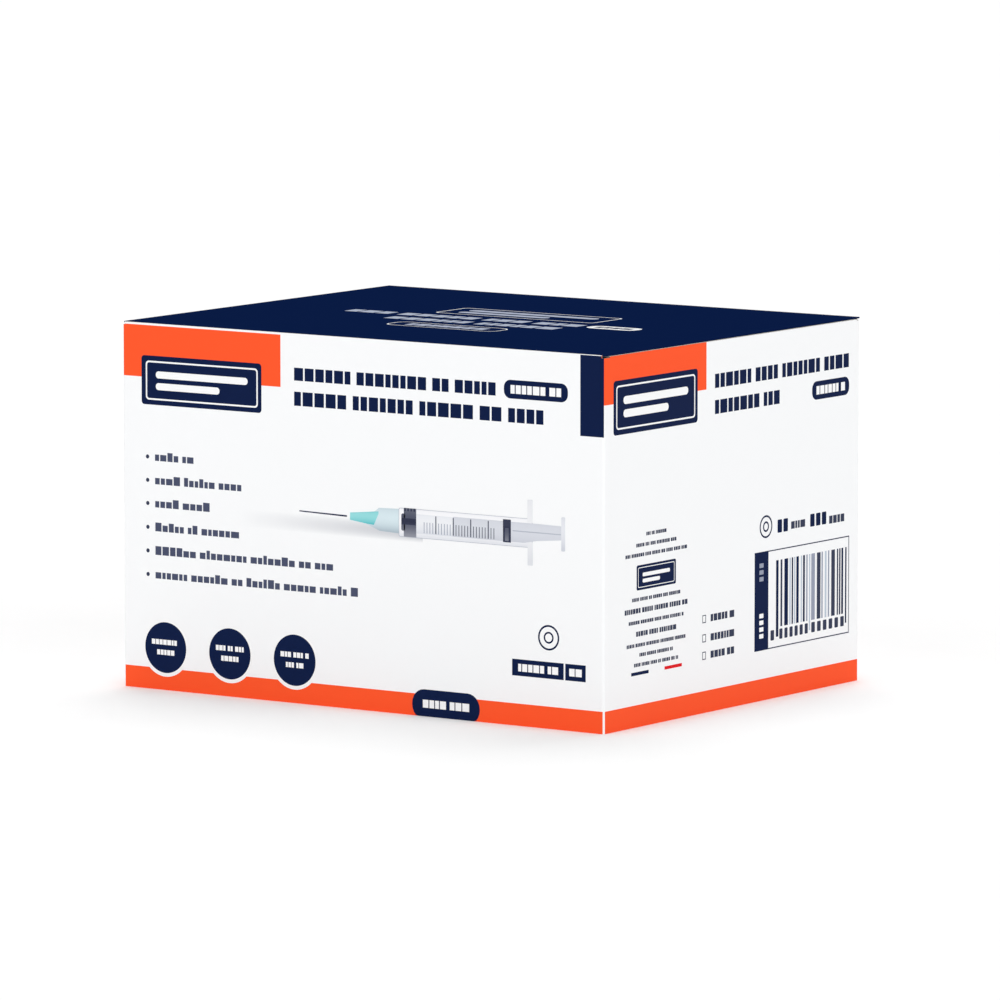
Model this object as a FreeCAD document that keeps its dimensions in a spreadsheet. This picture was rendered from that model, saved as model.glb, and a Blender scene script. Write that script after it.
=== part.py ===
"""A closed cartonboard carton of a hundred wrapped syringes.

The frame: X runs along the long front wall, the front faces -Y, Z is up, and the origin is the middle
of the base. Lengths are in millimetres and angles in degrees.

The carton is made to measure, as real ones are: the wrapped syringes and their packing come first, and
the board is folded round them. So the driving sizes are those of a wrapped syringe, of the board and of
the flaps, and the size of the carton follows from them.
"""
import FreeCAD, Part
import Sketcher
import os

doc = FreeCAD.newDocument("SyringeCarton")

# Driving sizes
SIZES = [
    ("pack_width", 38.0, "one wrapped syringe, across"),
    ("pack_length", 188.0, "one wrapped syringe, along"),
    ("web_thickness", 0.4, "paper backing with the film sealed to it"),
    ("pocket_depth", 15.2, "film pocket over the barrel and its flange"),
    ("pocket_draft", 12.0, "slope of the pocket's sides"),
    ("cap_width", 10.0, "pocket over the needle cap"),
    ("cap_length", 50.0, "pocket over the needle cap"),
    ("cap_depth", 10.0, "pocket over the needle cap"),
    ("barrel_width", 16.0, "pocket over the barrel"),
    ("barrel_length", 72.0, "pocket over the barrel"),
    ("flange_width", 25.0, "pocket over the finger flange"),
    ("flange_length", 10.0, "pocket over the finger flange"),
    ("rod_length", 16.0, "pocket over the plunger's thumb rest"),
    ("pack_gap", 0.2, "between packs in a row"),
    ("stack_gap", 0.2, "between rows"),
    ("loose_pitch", 44.0, "spacing of the last four packs"),
    ("loose_turn", 1.2, "how far each of them lies askew"),
    ("side_room", 0.25, "between a row and an end wall"),
    ("end_room", 3.4, "between a pack and the front or back wall"),
    ("head_room", 8.45, "from the loose packs to the dust flaps"),
    ("board", 0.6, "thickness of the cartonboard"),
    ("corner_radius", 1.4, "outside of the upright creases"),
    ("fold_radius", 0.5, "outside of the lid's front crease"),
    ("fold_clearance", 0.15, "between the lid and the dust flaps"),
    ("lip_drop", 0.15, "front wall's edge below the lid's face"),
    ("lid_side_gap", 0.3, "lid's end short of the end wall's face"),
    ("tuck_gap", 0.3, "tuck flap's crease behind the front wall"),
    ("swing_gap", 0.4, "tuck flap's tip clear of the wall as it swings"),
    ("tuck_depth", 22.0, "height of the tuck flap"),
    ("tuck_inset", 1.5, "tuck flap's end short of the lid's end"),
    ("tuck_corner", 8.0, "rounding of the tuck flap's lower corners"),
    ("slit_length", 9.0, "lock slit at each end of the tuck crease"),
    ("slit_width", 0.8, "lock slit at each end of the tuck crease"),
    ("dust_depth", 72.0, "how far a dust flap reaches in"),
    ("dust_gap", 1.2, "dust flap behind the tuck flap"),
    ("dust_back_room", 2.0, "dust flap in front of the back wall"),
    ("dust_taper", 10.0, "slope of the dust flap's sides at its tip"),
    ("dust_shoulder", 40.0, "straight part of the dust flap's sides"),
    ("lap_width", 15.0, "glue lap inside the back wall"),
    ("lap_slope", 6.0, "slope of the glue lap's ends"),
    ("lap_short", 1.0, "glue lap's ends short of the creases"),
    ("seam_width", 0.5, "gap between the bottom flaps"),
    ("seam_margin", 4.0, "bottom seams' ends short of the corners"),
    ("lock_half", 30.0, "half of the bottom's middle seam"),
    ("lock_step", 8.0, "step in the bottom's middle seam"),
]
PACKS_IN_ROW = 6
DOUBLE_ROWS = 8
LOOSE_PACKS = 4

sizes = doc.addObject("Spreadsheet::Sheet", "Sizes")
for line, (alias, value, note) in enumerate(SIZES, start=1):
    sizes.set(f"A{line}", alias)
    sizes.set(f"B{line}", str(value))
    sizes.set(f"C{line}", note)
    sizes.setAlias(f"B{line}", alias)

# Sizes worked out from the driving ones, in the order in which the carton is laid out
WORKED = [
    ("row_pitch", "Sizes.pack_width + Sizes.pack_gap"),
    ("inside_length", f"({PACKS_IN_ROW} + 0.5) * row_pitch + 2 * Sizes.side_room"),
    ("inside_width", "Sizes.pack_length + 2 * Sizes.end_room"),
    ("half_inside_length", "inside_length / 2"),
    ("half_inside_width", "inside_width / 2"),
    ("half_length", "half_inside_length + Sizes.board"),
    ("half_width", "half_inside_width + Sizes.board"),
    ("base_top", "2 * Sizes.board"),
    ("pack_depth", "Sizes.web_thickness + Sizes.pocket_depth"),
    ("pair_pitch", "pack_depth + Sizes.web_thickness + 2 * Sizes.stack_gap"),
    ("loose_floor", f"base_top + Sizes.stack_gap + {DOUBLE_ROWS} * pair_pitch"),
    ("dust_underside", "loose_floor + pack_depth + Sizes.head_room"),
    ("wall_top", "dust_underside + Sizes.board"),
    ("lid_underside", "wall_top + Sizes.fold_clearance"),
    ("carton_height", "lid_underside + Sizes.board"),
    ("lip_height", "carton_height - Sizes.lip_drop - dust_underside"),
    ("half_lid", "half_length - Sizes.lid_side_gap"),
    ("tuck_front", "half_inside_width - Sizes.tuck_gap"),
    ("swing_reach", "half_width + half_inside_width"),
    ("tip_depth", "Sizes.tuck_depth + Sizes.board"),
    ("tip_front", "sqrt(swing_reach ^ 2 - tip_depth ^ 2) - half_width - Sizes.swing_gap"),
    ("half_tuck", "half_lid - Sizes.tuck_inset"),
    ("dust_front", "tip_front - Sizes.board - Sizes.dust_gap"),
    ("dust_back", "half_inside_width - Sizes.dust_back_room"),
    ("dust_tip", "half_inside_length - Sizes.dust_depth"),
    ("dust_bend", "half_inside_length - Sizes.dust_shoulder"),
    ("seam_x", "half_length - Sizes.seam_margin"),
    ("seam_y", "half_width - Sizes.seam_margin"),
    ("barrel_end", "Sizes.barrel_length / 2"),
    ("flange_end", "barrel_end + Sizes.flange_length"),
    ("rod_end", "flange_end + Sizes.rod_length"),
    ("cap_tip", "barrel_end + Sizes.cap_length"),
]
worked = doc.addObject("Spreadsheet::Sheet", "Worked")
for line, (alias, formula) in enumerate(WORKED, start=1):
    worked.set(f"A{line}", alias)
    worked.set(f"B{line}", "=" + formula)
    worked.setAlias(f"B{line}", alias)
doc.recompute()


def size(alias):
    """The value of a driving or worked size."""
    sheet = worked if alias in dict(WORKED) else sizes
    return float(sheet.get(alias))


def origin_feature(body, role):
    """One of a body's own planes or axes."""
    return next(item for item in body.Origin.OriginFeatures if item.Role == role)


def new_body(name):
    """An empty body, which becomes one sub-part."""
    body = doc.addObject("PartDesign::Body", name)
    body.Label = name
    return body


def add_outline(sketch, corners):
    """A closed outline whose corners are pairs of expressions, each tied to the sheet."""
    first = sketch.GeometryCount
    places = [[float(sketch.evalExpression(text)) for text in corner] for corner in corners]
    count = len(corners)
    for index, place in enumerate(places):
        following = places[(index + 1) % count]
        start = FreeCAD.Vector(place[0], place[1], 0)
        end = FreeCAD.Vector(following[0], following[1], 0)
        sketch.addGeometry(Part.LineSegment(start, end), False)
    for index in range(count):
        following = first + (index + 1) % count
        sketch.addConstraint(Sketcher.Constraint("Coincident", first + index, 2, following, 1))
    for index, corner in enumerate(corners):
        for kind, text, value in zip(("DistanceX", "DistanceY"), corner, places[index]):
            constraint = Sketcher.Constraint(kind, -1, 1, first + index, 1, value)
            number = sketch.addConstraint(constraint)
            sketch.setExpression(f"Constraints[{number}]", text)


def new_sketch(body, name, role, outlines, offset="0"):
    """A sketch of closed outlines on one of the body's planes, set off from it."""
    sketch = body.newObject("Sketcher::SketchObject", name)
    sketch.AttachmentSupport = [(origin_feature(body, role), "")]
    sketch.MapMode = "FlatFace"
    sketch.setExpression("AttachmentOffset.Base.z", offset)
    for corners in outlines:
        add_outline(sketch, corners)
    return sketch


def rectangle(left, right, low, high):
    """The four corners of a rectangle, from the expressions of its sides."""
    return [(left, low), (right, low), (right, high), (left, high)]


def add_pad(body, name, role, outlines, length, offset="0", both_ways=False):
    """Material raised from a sketch."""
    sketch = new_sketch(body, f"{name}_outline", role, outlines, offset)
    pad = body.newObject("PartDesign::Pad", name)
    pad.Profile = sketch
    pad.setExpression("Length", length)
    if both_ways:
        pad.SideType = "Symmetric"
    return pad


def add_pocket(body, name, role, outlines, length, offset="0", reverse=False):
    """Material cut away along a sketch's outlines."""
    sketch = new_sketch(body, f"{name}_outline", role, outlines, offset)
    doc.recompute()
    before = body.Shape.Volume
    pocket = body.newObject("PartDesign::Pocket", name)
    pocket.Profile = sketch
    pocket.Reversed = reverse
    pocket.setExpression("Length", length)
    doc.recompute()
    if not pocket.Shape.Volume < before:
        raise RuntimeError(f"{name} cuts nothing")
    return pocket


def add_fillet(body, name, radius, wanted):
    """Rounding on the edges of the body that the given test picks."""
    doc.recompute()
    base = body.Tip
    edges = [f"Edge{i}" for i, edge in enumerate(base.Shape.Edges, start=1) if wanted(edge)]
    fillet = body.newObject("PartDesign::Fillet", name)
    fillet.Base = (base, edges)
    fillet.setExpression("Radius", radius)
    return fillet


def runs_along(edge, axis):
    """Whether an edge is straight and parallel to one axis: 0, 1 or 2."""
    if not isinstance(edge.Curve, (Part.Line, Part.LineSegment)):
        return False
    start, end = edge.Vertexes[0].Point, edge.Vertexes[1].Point
    return all(abs(start[other] - end[other]) < 1e-6 for other in range(3) if other != axis)


def lies_at(edge, axis, value):
    """Whether the middle of an edge lies at a value on one axis, on either side of zero."""
    return abs(abs(edge.CenterOfMass[axis]) - abs(value)) < 1e-4


def make_carton_body():
    """The folded sheet without its lid: walls, locking bottom, glue lap and dust flaps."""
    body = new_body("carton_body")

    # The walls and the two layers of the bottom
    outside = rectangle("-Worked.half_length", "Worked.half_length",
                        "-Worked.half_width", "Worked.half_width")
    inside = rectangle("-Worked.half_inside_length", "Worked.half_inside_length",
                       "-Worked.half_inside_width", "Worked.half_inside_width")
    add_pad(body, "folded_block", "XY_Plane", [outside], "Worked.dust_underside")
    add_fillet(body, "outside_creases", "Sizes.corner_radius",
               lambda edge: runs_along(edge, 2) and edge.Length > size("base_top"))
    add_pocket(body, "inside_space", "XY_Plane", [inside],
               "Worked.dust_underside - Worked.base_top", "Worked.dust_underside")
    add_fillet(body, "inside_creases", "Sizes.corner_radius - Sizes.board",
               lambda edge: (runs_along(edge, 2) and lies_at(edge, 0, size("half_inside_length"))
                             and lies_at(edge, 1, size("half_inside_width"))))

    # The front wall ends in a cut edge beside the lid, between the two front creases
    lip = rectangle("-(Worked.half_length - Sizes.corner_radius)",
                    "Worked.half_length - Sizes.corner_radius",
                    "-Worked.half_width", "-Worked.half_inside_width")
    add_pad(body, "front_lip", "XY_Plane", [lip], "Worked.lip_height", "Worked.dust_underside")
    back_edge = rectangle("-(Worked.half_length - Sizes.corner_radius)",
                          "Worked.half_length - Sizes.corner_radius",
                          "Worked.half_inside_width", "Worked.half_width")
    add_pad(body, "back_edge", "XY_Plane", [back_edge], "Sizes.board", "Worked.dust_underside")

    # A dust flap folds in from the top of each end wall and narrows towards its tip
    def dust_flap(side):
        """One flap's outline, for the end wall on the side + or -."""
        sign = "" if side == "+" else "-"
        return [
            (f"{sign}Worked.half_length", "-Worked.dust_front"),
            (f"{sign}Worked.dust_bend", "-Worked.dust_front"),
            (f"{sign}Worked.dust_tip", "-(Worked.dust_front - Sizes.dust_taper)"),
            (f"{sign}Worked.dust_tip", "Worked.dust_back - Sizes.dust_taper"),
            (f"{sign}Worked.dust_bend", "Worked.dust_back"),
            (f"{sign}Worked.half_length", "Worked.dust_back"),
        ]
    add_pad(body, "dust_flaps", "XY_Plane", [dust_flap("+"), dust_flap("-")],
            "Sizes.board", "Worked.dust_underside")
    add_fillet(body, "dust_creases", "Sizes.fold_radius",
               lambda edge: (runs_along(edge, 1) and lies_at(edge, 0, size("half_length"))
                             and lies_at(edge, 2, size("wall_top"))))

    # The glue lap joins the sheet into a sleeve, inside the back wall at its left end
    lap_left = "-Worked.half_inside_length"
    lap_right = "-(Worked.half_inside_length - Sizes.lap_width)"
    lap_low = "Worked.base_top + Sizes.lap_short"
    lap_high = "Worked.dust_underside - Sizes.lap_short"
    lap = [(lap_left, lap_low), (lap_right, f"{lap_low} + Sizes.lap_slope"),
           (lap_right, f"{lap_high} - Sizes.lap_slope"), (lap_left, lap_high)]
    add_pad(body, "glue_lap", "XZ_Plane", [lap], "Sizes.board", "-Worked.half_inside_width")

    # The seams between the four bottom flaps, as deep as the outer layer
    def corner_seam(x_sign, y_sign):
        """A narrow gap from near one corner to one end of the middle seam."""
        outer = f"{x_sign}Worked.seam_x"
        inner = f"{x_sign}(Sizes.lock_half + 2 * Sizes.seam_width)"
        return [(outer, f"{y_sign}Worked.seam_y"), (inner, f"{y_sign}Sizes.lock_step / 2"),
                (f"{inner} + Sizes.seam_width", f"{y_sign}Sizes.lock_step / 2"),
                (f"{outer} + Sizes.seam_width", f"{y_sign}Worked.seam_y")]
    seams = [corner_seam(x_sign, y_sign) for x_sign in ("", "-") for y_sign in ("", "-")]
    step_high = "Sizes.lock_step / 2"
    step_low = "-Sizes.lock_step / 2"
    seams.append([
        ("-Sizes.lock_half", step_low), ("Sizes.seam_width", step_low),
        ("Sizes.seam_width", step_high), ("Sizes.lock_half", step_high),
        ("Sizes.lock_half", f"{step_high} + Sizes.seam_width"),
        ("0", f"{step_high} + Sizes.seam_width"),
        ("0", f"{step_low} + Sizes.seam_width"), ("-Sizes.lock_half", f"{step_low} + Sizes.seam_width"),
    ])
    add_pocket(body, "bottom_seams", "XY_Plane", seams, "Sizes.board", reverse=True)
    return body


def make_lid():
    """The top panel and its tuck flap, which leans back so that it swings clear of the front wall."""
    body = new_body("lid")
    panel = rectangle("-Worked.half_lid", "Worked.half_lid", "-Worked.tuck_front", "Worked.half_width")
    add_pad(body, "top_panel", "XY_Plane", [panel], "Sizes.board", "Worked.lid_underside")

    # The section of the tuck flap, looking along X
    tip = "Worked.lid_underside - Sizes.tuck_depth"
    section = [("-Worked.tuck_front", "Worked.lid_underside"),
               ("-(Worked.tuck_front - Sizes.board)", "Worked.lid_underside"),
               ("-(Worked.tip_front - Sizes.board)", tip), ("-Worked.tip_front", tip)]
    add_pad(body, "tuck_flap", "YZ_Plane", [section], "2 * Worked.half_tuck", both_ways=True)
    add_fillet(body, "tuck_corners", "min(Sizes.tuck_corner; 0.4 * Sizes.tuck_depth)",
               lambda edge: (runs_along(edge, 1) and lies_at(edge, 0, size("half_tuck"))
                             and lies_at(edge, 2, size("lid_underside") - size("tuck_depth"))))
    add_fillet(body, "front_crease", "Sizes.fold_radius",
               lambda edge: (runs_along(edge, 0) and lies_at(edge, 2, size("carton_height"))
                             and edge.CenterOfMass.y < 0))

    # A slit at each end of the crease hooks behind the dust flap on the real carton
    slit_low = "Worked.lid_underside - Sizes.slit_width"
    slits = [rectangle("Worked.half_tuck - Sizes.slit_length", "Worked.half_lid",
                       slit_low, "Worked.lid_underside"),
             rectangle("-Worked.half_lid", "-(Worked.half_tuck - Sizes.slit_length)",
                       slit_low, "Worked.lid_underside")]
    add_pocket(body, "lock_slits", "XZ_Plane", slits, "Worked.half_width / 2",
               "Worked.half_width / 2", reverse=True)
    return body


def add_pocket_part(body, name, width, start, end, depth):
    """One stretch of the film pocket: a block on the web whose four sides slope inwards."""
    block = body.newObject("PartDesign::AdditiveWedge", name)
    # On this plane the block's own Y is the part's Z, and its own Z is the part's -Y
    block.AttachmentSupport = [(origin_feature(body, "XZ_Plane"), "")]
    block.MapMode = "FlatFace"
    block.setExpression("AttachmentOffset.Base.y", "Sizes.web_thickness")
    inset = f"{depth} * tan(Sizes.pocket_draft)"
    sides = {
        "Xmin": f"-{width} / 2", "Xmax": f"{width} / 2",
        "Ymin": "0", "Ymax": depth,
        "Zmin": f"-({end})", "Zmax": f"-({start})",
        "X2min": f"-{width} / 2 + {inset}", "X2max": f"{width} / 2 - {inset}",
        "Z2min": f"-({end}) + {inset}", "Z2max": f"-({start}) - {inset}",
    }
    for side, text in sides.items():
        setattr(block, side, float(block.evalExpression(text)))
    for side, text in sides.items():
        block.setExpression(side, text)
    return block


def add_wrapped_syringe(body):
    """One wrapped syringe on the body's XY plane, pocket up and needle end towards -Y."""
    web = rectangle("-Sizes.pack_width / 2", "Sizes.pack_width / 2",
                    "-Sizes.pack_length / 2", "Sizes.pack_length / 2")
    # The pocket follows the syringe: the needle cap, the barrel to the thumb rest, the finger flange
    return [
        add_pad(body, "web", "XY_Plane", [web], "Sizes.web_thickness"),
        add_pocket_part(body, "cap_pocket", "Sizes.cap_width", "-Worked.cap_tip",
                        "-Worked.barrel_end + Sizes.cap_width / 2", "Sizes.cap_depth"),
        add_pocket_part(body, "barrel_pocket", "Sizes.barrel_width", "-Worked.barrel_end",
                        "Worked.rod_end", "Sizes.pocket_depth"),
        add_pocket_part(body, "flange_pocket", "Sizes.flange_width", "Worked.barrel_end",
                        "Worked.flange_end", "Sizes.pocket_depth"),
    ]


def make_row(name, count):
    """Wrapped syringes side by side along +X, the first of them on the body's own origin."""
    body = new_body(name)
    pieces = add_wrapped_syringe(body)
    if count > 1:
        row = body.newObject("PartDesign::LinearPattern", "row")
        row.Originals = pieces
        row.Direction = (origin_feature(body, "X_Axis"), [""])
        row.setExpression("Length", f"{count - 1} * Worked.row_pitch")
        row.Occurrences = count
        body.Tip = row
    return body


def make_packed_rows():
    """Eight double layers: a row with its pockets up, and one turned over that fills its gaps."""
    rows = []
    first = "Worked.half_inside_length - Sizes.side_room - Worked.row_pitch / 2"
    for pair in range(DOUBLE_ROWS):
        floor = f"Worked.base_top + Sizes.stack_gap + {pair} * Worked.pair_pitch"
        upright = make_row(f"pack_row_{2 * pair + 1:02d}", PACKS_IN_ROW)
        upright.setExpression("Placement.Base.x", f"-({first})")
        upright.setExpression("Placement.Base.z", floor)
        # Turned over about Y, and end for end, so its flanges lie beside the needle caps
        turned = make_row(f"pack_row_{2 * pair + 2:02d}", PACKS_IN_ROW)
        turned.Placement = FreeCAD.Placement(FreeCAD.Vector(),
                                             FreeCAD.Rotation(FreeCAD.Vector(1, 0, 0), 180))
        turned.setExpression("Placement.Base.x", f"-({first}) + Worked.row_pitch / 2")
        turned.setExpression("Placement.Base.z",
                             f"{floor} + Worked.pack_depth + Sizes.stack_gap + Sizes.web_thickness")
        rows += [upright, turned]
    return rows


def make_loose_packs():
    """The last packs lie on the top row, pockets up, head to tail and a little askew."""
    packs = []
    for index in range(LOOSE_PACKS):
        pack = make_row(f"loose_pack_{index + 1}", 1)
        askew = size("loose_turn") * (1 if index % 2 else -1)
        turn = 180 * (index % 2) + askew
        pack.Placement = FreeCAD.Placement(FreeCAD.Vector(),
                                           FreeCAD.Rotation(FreeCAD.Vector(0, 0, 1), turn))
        pack.setExpression("Placement.Base.x", f"({index} - {(LOOSE_PACKS - 1) / 2}) * Sizes.loose_pitch")
        pack.setExpression("Placement.Base.z", "Worked.loose_floor")
        packs.append(pack)
    return packs


parts = [make_carton_body(), make_lid()] + make_packed_rows() + make_loose_packs()
doc.recompute()

for item in doc.Objects:
    if "Invalid" in item.State or "Error" in item.State:
        raise RuntimeError(f"{item.Name} did not build: {item.State}")
for part in parts:
    if part.Shape.isNull() or not part.Shape.isValid():
        raise RuntimeError(f"{part.Label} has no sound shape")

os.makedirs("parts", exist_ok=True)
for part in parts:
    part.Shape.exportStep(f"parts/{part.Label}.step")
    box = part.Shape.BoundBox
    print(f"{part.Label}: {len(part.Shape.Solids)} solids, {part.Shape.Volume / 1000:.1f} cm3, "
          f"X {box.XMin:.2f} to {box.XMax:.2f}, Y {box.YMin:.2f} to {box.YMax:.2f}, "
          f"Z {box.ZMin:.2f} to {box.ZMax:.2f}")
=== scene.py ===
# %% [markdown]
# A printed carton of wrapped syringes, dressed in Blender.
# The imported model is the frame: every piece below goes where the frame says, in metres. The origin
# is in the middle of the base, X runs along the long front wall and the front faces -Y. The frame's
# box is kept first.

# %% Load the frame
import math
import random
import bmesh
import bpy
from mathutils import Matrix, Vector


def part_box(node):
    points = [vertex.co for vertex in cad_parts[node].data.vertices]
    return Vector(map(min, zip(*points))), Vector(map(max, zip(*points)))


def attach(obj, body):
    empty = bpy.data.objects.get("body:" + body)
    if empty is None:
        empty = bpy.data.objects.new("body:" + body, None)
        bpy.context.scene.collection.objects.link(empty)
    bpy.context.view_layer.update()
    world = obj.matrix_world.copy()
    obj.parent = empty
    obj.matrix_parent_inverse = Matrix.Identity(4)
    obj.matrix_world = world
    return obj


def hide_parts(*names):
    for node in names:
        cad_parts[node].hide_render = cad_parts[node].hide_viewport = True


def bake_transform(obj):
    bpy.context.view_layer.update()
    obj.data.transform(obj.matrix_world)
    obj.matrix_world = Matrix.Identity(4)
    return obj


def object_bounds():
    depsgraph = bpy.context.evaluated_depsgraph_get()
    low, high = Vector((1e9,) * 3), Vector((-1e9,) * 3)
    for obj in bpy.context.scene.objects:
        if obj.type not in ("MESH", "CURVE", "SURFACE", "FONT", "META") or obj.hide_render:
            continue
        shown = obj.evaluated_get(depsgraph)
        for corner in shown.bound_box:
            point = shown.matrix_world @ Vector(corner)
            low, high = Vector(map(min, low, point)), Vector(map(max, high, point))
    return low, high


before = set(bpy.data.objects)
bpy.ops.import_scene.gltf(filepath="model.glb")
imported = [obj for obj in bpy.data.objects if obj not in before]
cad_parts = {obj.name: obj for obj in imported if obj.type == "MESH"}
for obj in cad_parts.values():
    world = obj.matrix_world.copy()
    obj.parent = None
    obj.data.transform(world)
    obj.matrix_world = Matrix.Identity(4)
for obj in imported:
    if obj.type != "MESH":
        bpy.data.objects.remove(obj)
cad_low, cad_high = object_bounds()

print("frame box", tuple(cad_low), tuple(cad_high))

# %% [markdown]
# A printer lays out a carton in millimetres from the corner of each panel. So the carton's own sizes
# are read from the frame, turned into millimetres, and all print is placed from them. The sheet is
# ordinary 0.6 mm cartonboard, and its scored corners are rounded by the fold.

# %% Sizes of the carton
MM = 0.001
half_length = cad_high.x / MM
half_width = cad_high.y / MM
height = cad_high.z / MM
board = 0.6
corner_radius = 1.4
wall_top = height - board - 0.15
print(f"carton {2 * half_length:.1f} x {2 * half_width:.1f} x {height:.1f} mm, walls to {wall_top:.2f}")

# %% [markdown]
# A finish is mostly sums: where is this point, how deep inside a printed field is it, how much ink
# lies there. Wiring Math nodes by hand hides such a sum, so a small class stands for a node's output
# and lets the sum be written as it is said. Each operator adds its own Math node, apart from a value
# taken from a number, which needs two. Least and most are the smaller and the larger of two values.

# %% A value that changes over a surface
def operator(operation):
    """A method that puts a value and another through one Math node."""
    def method(self, other):
        return self.math(operation, other)
    return method


class Value:
    """A number that changes over a surface, as the output of a node."""

    def __init__(self, tree, output):
        self.tree = tree
        self.output = output

    def math(self, operation, *others, clamp=False):
        """This value and others, in that order, through one Math node."""
        node = self.tree.nodes.new("ShaderNodeMath")
        node.operation = operation
        node.use_clamp = clamp
        for socket, value in zip(node.inputs, (self, *others)):
            plug(self.tree, socket, value)
        return Value(self.tree, node.outputs[0])

    __add__ = __radd__ = operator("ADD")
    __sub__ = operator("SUBTRACT")
    __mul__ = __rmul__ = operator("MULTIPLY")
    __truediv__ = operator("DIVIDE")
    __gt__ = operator("GREATER_THAN")
    __lt__ = operator("LESS_THAN")
    least = operator("MINIMUM")
    most = operator("MAXIMUM")

    def __rsub__(self, other):
        return self * -1 + other

    def __abs__(self):
        return self.math("ABSOLUTE")

    def soft(self, spread=0.08):
        """A depth in mm as a share of ink: 1 inside, 0 outside, soft over the spread."""
        return (self / spread).math("ADD", 0.5, clamp=True)


def plug(tree, socket, value):
    """Gives a socket a number or colour, or links it to a value."""
    if isinstance(value, Value):
        tree.links.new(value.output, socket)
    else:
        socket.default_value = value


# %% [markdown]
# Colours are chosen as the 0 to 255 steps of a screen, while Blender reckons in linear light. One
# function turns the first into the second. The printed palette is small: a dark navy, a bright
# orange, and the white of the coated board.

# %% Colours
def colour(red, green, blue):
    """A screen colour, 0 to 255, as a linear colour."""
    def linear(step):
        share = step / 255
        return share / 12.92 if share <= 0.04045 else ((share + 0.055) / 1.055) ** 2.4
    return (linear(red), linear(green), linear(blue), 1.0)


def scaled(tint, by, lift=0.0):
    """A colour, brighter or darker by that factor, and lifted a little."""
    return tuple(min(1.0, part * by + lift) for part in tint[:3]) + (1.0,)


NAVY = colour(10, 27, 66)
ORANGE = colour(254, 88, 44)
COATED_WHITE = colour(247, 248, 249)
CUT_BOARD = colour(214, 210, 202)
print("navy in linear light", [round(part, 4) for part in NAVY])

# %% [markdown]
# Every finish here is one Principled shader. What is the same all over, such as a coat, is set on its
# own sockets. What changes over the surface is linked to colour, roughness, normal or alpha. This
# class keeps the tree and answers the questions that a finish asks: where am I, which way do I face,
# and how rough is the grain here.

# %% A finish
class Finish:
    """One material, with a Principled shader and the nodes that feed it."""

    def __init__(self, name, **steady):
        self.material = bpy.data.materials.new(name)
        self.material.use_nodes = True
        self.tree = self.material.node_tree
        self.shader = self.tree.nodes["Principled BSDF"]
        self.link(**steady)

    def node(self, kind, settings=None, output=0, **sockets):
        """Any node: its settings first, then its sockets by name, and one of its outputs."""
        made = self.tree.nodes.new(f"ShaderNode{kind}")
        for key, value in (settings or {}).items():
            setattr(made, key, value)
        for name, value in sockets.items():
            plug(self.tree, made.inputs[name.replace("_", " ")], value)
        return Value(self.tree, made.outputs[output])

    def parts(self, vector):
        """A vector's three numbers."""
        split = self.tree.nodes.new("ShaderNodeSeparateXYZ")
        plug(self.tree, split.inputs[0], vector)
        return [Value(self.tree, output) for output in split.outputs]

    def place(self):
        """Where the point is in the frame, in mm."""
        return [part * (1 / MM) for part in self.parts(self.node("TexCoord", output="Object"))]

    def facing(self):
        """Which way the surface faces in the frame."""
        return self.parts(self.node("TexCoord", output="Normal"))

    def mix(self, share, first, second):
        """The first colour where the share is 0, and the second where it is 1."""
        made = self.tree.nodes.new("ShaderNodeMix")
        made.data_type = "RGBA"
        factor, colour_a, colour_b = made.inputs[0], made.inputs[6], made.inputs[7]
        for socket, value in ((factor, share), (colour_a, first), (colour_b, second)):
            plug(self.tree, socket, value)
        return Value(self.tree, made.outputs[2])

    def noise(self, size, detail=2.0, stretch=(1, 1, 1)):
        """Cloudy noise from 0 to 1, with clouds of about that size in mm."""
        point = self.node("TexCoord", output="Object")
        scale = [way / (size * MM) for way in stretch]
        mapped = self.node("Mapping", Vector=point, Scale=scale)
        return self.node("TexNoise", Vector=mapped, Scale=1.0, Detail=detail)

    def link(self, **sockets):
        """Sets or links the shader's sockets, and hands back the material."""
        for name, value in sockets.items():
            plug(self.tree, self.shader.inputs[name.replace("_", " ")], value)
        return self.material

    def bump(self, depth, millimetres):
        """Raises the surface by that many mm where the depth goes from 0 to 1."""
        normal = self.node("Bump", Height=depth, Distance=millimetres * MM, Strength=1.0)
        return self.link(Normal=normal)


# %% [markdown]
# A printed field is a box on a wall. How deep a point lies inside it, in mm, is the least of its
# distances to the four sides, and that depth, softened over a hair's width, is the ink. Taking the
# greater of two depths joins two fields.

# %% Depth inside a field
def inside(u, v, left, right, upper, lower):
    """How deep a point lies inside a box on a wall, in mm, and negative outside."""
    across = (u - left).least(right - u)
    down = (v - upper).least(lower - v)
    return across.least(down)


# %% [markdown]
# The board itself is the same sheet everywhere: a white coated face with a satin varnish, a grey back
# of recycled fibre with darker and lighter flecks, and a pale edge where the knife went through. On
# the printed face the fibres under the coat show only as a faint unevenness in the shine. So one
# function finishes any panel, from three things: the print, where raw fibre shows, and where the
# sheet was cut. The carton is new and unopened, so nothing is worn or scuffed.

# %% Cartonboard
COATED_ROUGH = 0.34
RAW_ROUGHER = 0.42


def sheet_relief(finish, grain):
    """The bump that board and ink share: a fine grain on the slow waves of the sheet."""
    return finish.bump(grain + finish.noise(45.0) * 6.0, 0.02)


def fibres(finish):
    """The grey of the sheet's uncoated side, from recycled fibre."""
    share = finish.noise(1.6, detail=3.0, stretch=(1, 1, 4))
    return finish.mix(share, colour(142, 134, 122), colour(196, 190, 180))


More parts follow.
